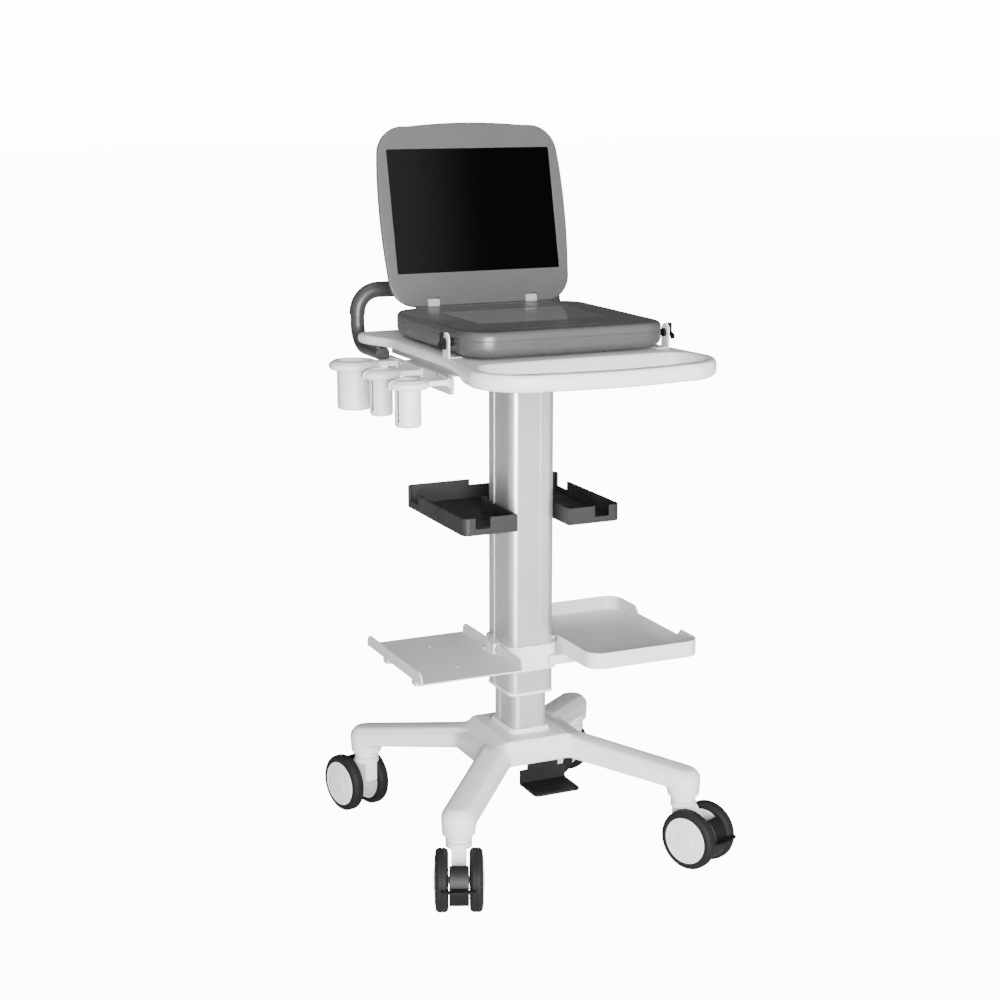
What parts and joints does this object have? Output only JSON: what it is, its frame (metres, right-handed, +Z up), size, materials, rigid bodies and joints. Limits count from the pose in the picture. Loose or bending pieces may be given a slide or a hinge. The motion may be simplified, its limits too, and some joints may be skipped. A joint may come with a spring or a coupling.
{
  "type": "ultrasound machine on a mobile trolley",
  "caption": "Portable ultrasound machine with a tilting screen on a height-adjustable trolley with casters, probe cups, trays and a rear handle.",
  "frame": {"origin": "on the floor, on the axis of the lifting column", "axes": "+X to the user's right, +Y towards the back, +Z up"},
  "size_m": [0.5548, 0.6507, 1.1999],
  "materials": {
    "cast_white": "satin",
    "trim_white": "satin",
    "column_aluminium": "satin anodised",
    "steel": "bright",
    "black_metal": "satin",
    "caster_white": "satin",
    "pedal_black": "fine texture",
    "shell_grey": "fine texture",
    "worktop_white": "satin",
    "handle_grey": "satin",
    "rail_white": "satin",
    "cup_white": "satin",
    "tray_dark": "fine texture",
    "black_rubber": "matt",
    "strap_white": "satin",
    "sheet_white": "satin powder coat",
    "basket_white": "satin",
    "unit_grey": "semi-gloss",
    "panel_grey": "gloss",
    "hinge_grey": "satin",
    "screen_black": "gloss",
    "knob_black": "satin",
    "tyre_black": "matt"
  },
  "bodies": {
    "base": {"base_frame": "cast_white", "hub_bezel": "trim_white", "inner_column": "column_aluminium", "column_bolts": "steel", "gas_cylinder": "black_metal", "caster_stems": "caster_white", "pedal_bracket": "black_metal", "pedal_pin": "steel"},
    "pedal": {"foot_pedal": "pedal_black"},
    "lift": {"outer_column": "column_aluminium", "column_end_cap": "trim_white", "column_glides": "trim_white", "gas_rod": "steel", "column_head": "cast_white", "worktop_under_shell": "shell_grey", "worktop": "worktop_white", "frame_screws": "steel", "rear_handle": "handle_grey", "handle_grip": "handle_grey", "holder_rail": "rail_white", "cup_rings": "cup_white", "gel_cup": "cup_white", "probe_cup_middle": "cup_white", "probe_cup_front": "cup_white", "instrument_tray": "tray_dark", "instrument_tray_pads": "black_rubber", "strap_front": "strap_white", "strap_rear": "strap_white", "lower_shelf": "sheet_white", "basket": "basket_white", "basket_boss": "basket_white", "unit_clamps": "strap_white", "unit_lower_shell": "unit_grey", "unit_deck": "unit_grey", "control_panel": "panel_grey", "unit_feet": "black_rubber", "battery_pack": "tray_dark", "hinge_arms": "hinge_grey"},
    "lid": {"lid_back": "unit_grey", "lid_bezel": "unit_grey", "screen_glass": "screen_black", "hinge_pins": "steel"},
    "screw_left": {"thumbscrew_left": "knob_black"},
    "screw_right": {"thumbscrew_right": "knob_black"},
    "caster_fl": {"fork_fl": "caster_white"},
    "wheels_fl": {"wheel_hubs_fl": "caster_white", "tyres_fl": "tyre_black"},
    "brake_fl": {"brake_lever_fl": "knob_black"},
    "caster_fr": {"fork_fr": "caster_white"},
    "wheels_fr": {"wheel_hubs_fr": "caster_white", "tyres_fr": "tyre_black"},
    "brake_fr": {"brake_lever_fr": "knob_black"},
    "caster_bl": {"fork_bl": "caster_white"},
    "wheels_bl": {"wheel_hubs_bl": "caster_white", "tyres_bl": "tyre_black"},
    "brake_bl": {"brake_lever_bl": "knob_black"},
    "caster_br": {"fork_br": "caster_white"},
    "wheels_br": {"wheel_hubs_br": "caster_white", "tyres_br": "tyre_black"},
    "brake_br": {"brake_lever_br": "knob_black"}
  },
  "joints": [
    {"name": "column_lift", "type": "slide", "parent": "base", "child": "lift", "axis": [0, 0, 1], "range_m": [-0.05, 0.2]},
    {"name": "pedal_press", "type": "hinge", "parent": "base", "child": "pedal", "pos_m": [0.02, -0.04, 0.15], "axis": [1, 0, 0], "range_deg": [0, 12], "stiffness_Nm_per_rad": 2, "springref_deg": -14.32},
    {"name": "lid_hinge", "type": "hinge", "parent": "lift", "child": "lid", "pos_m": [0, 0.156, 0.9065], "axis": [1, 0, 0], "range_deg": [-30, 102]},
    {"name": "clamp_screw_left", "type": "hinge", "parent": "lift", "child": "screw_left", "pos_m": [-0.172, -0.12, 0.88], "axis": [1, 0, 0], "continuous": true},
    {"name": "clamp_screw_right", "type": "hinge", "parent": "lift", "child": "screw_right", "pos_m": [0.172, -0.16, 0.88], "axis": [1, 0, 0], "continuous": true},
    {"name": "swivel_fl", "type": "hinge", "parent": "base", "child": "caster_fl", "pos_m": [-0.203, -0.206, 0.1], "axis": [0, 0, 1], "continuous": true},
    {"name": "wheel_spin_fl", "type": "hinge", "parent": "caster_fl", "child": "wheels_fl", "pos_m": [-0.2155, -0.23546, 0.05], "axis": [0.9205, -0.3907, 0], "continuous": true},
    {"name": "brake_press_fl", "type": "hinge", "parent": "caster_fl", "child": "brake_fl", "pos_m": [-0.2155, -0.23546, 0.05], "axis": [0.9205, -0.3907, 0], "range_deg": [0, 14]},
    {"name": "swivel_fr", "type": "hinge", "parent": "base", "child": "caster_fr", "pos_m": [0.203, -0.206, 0.1], "axis": [0, 0, 1], "continuous": true},
    {"name": "wheel_spin_fr", "type": "hinge", "parent": "caster_fr", "child": "wheels_fr", "pos_m": [0.21602, -0.23523, 0.05], "axis": [0.9135, 0.4067, 0], "continuous": true},
    {"name": "brake_press_fr", "type": "hinge", "parent": "caster_fr", "child": "brake_fr", "pos_m": [0.21602, -0.23523, 0.05], "axis": [0.9135, 0.4067, 0], "range_deg": [0, 14]},
    {"name": "swivel_bl", "type": "hinge", "parent": "base", "child": "caster_bl", "pos_m": [-0.203, 0.206, 0.1], "axis": [0, 0, 1], "continuous": true},
    {"name": "wheel_spin_bl", "type": "hinge", "parent": "caster_bl", "child": "wheels_bl", "pos_m": [-0.21128, 0.23691, 0.05], "axis": [-0.9659, -0.2588, 0], "continuous": true},
    {"name": "brake_press_bl", "type": "hinge", "parent": "caster_bl", "child": "brake_bl", "pos_m": [-0.21128, 0.23691, 0.05], "axis": [-0.9659, -0.2588, 0], "range_deg": [0, 14]},
    {"name": "swivel_br", "type": "hinge", "parent": "base", "child": "caster_br", "pos_m": [0.203, 0.206, 0.1], "axis": [0, 0, 1], "continuous": true},
    {"name": "wheel_spin_br", "type": "hinge", "parent": "caster_br", "child": "wheels_br", "pos_m": [0.187, 0.23371, 0.05], "axis": [-0.866, -0.5, 0], "continuous": true},
    {"name": "brake_press_br", "type": "hinge", "parent": "caster_br", "child": "brake_br", "pos_m": [0.187, 0.23371, 0.05], "axis": [-0.866, -0.5, 0], "range_deg": [0, 14]}
  ]
}
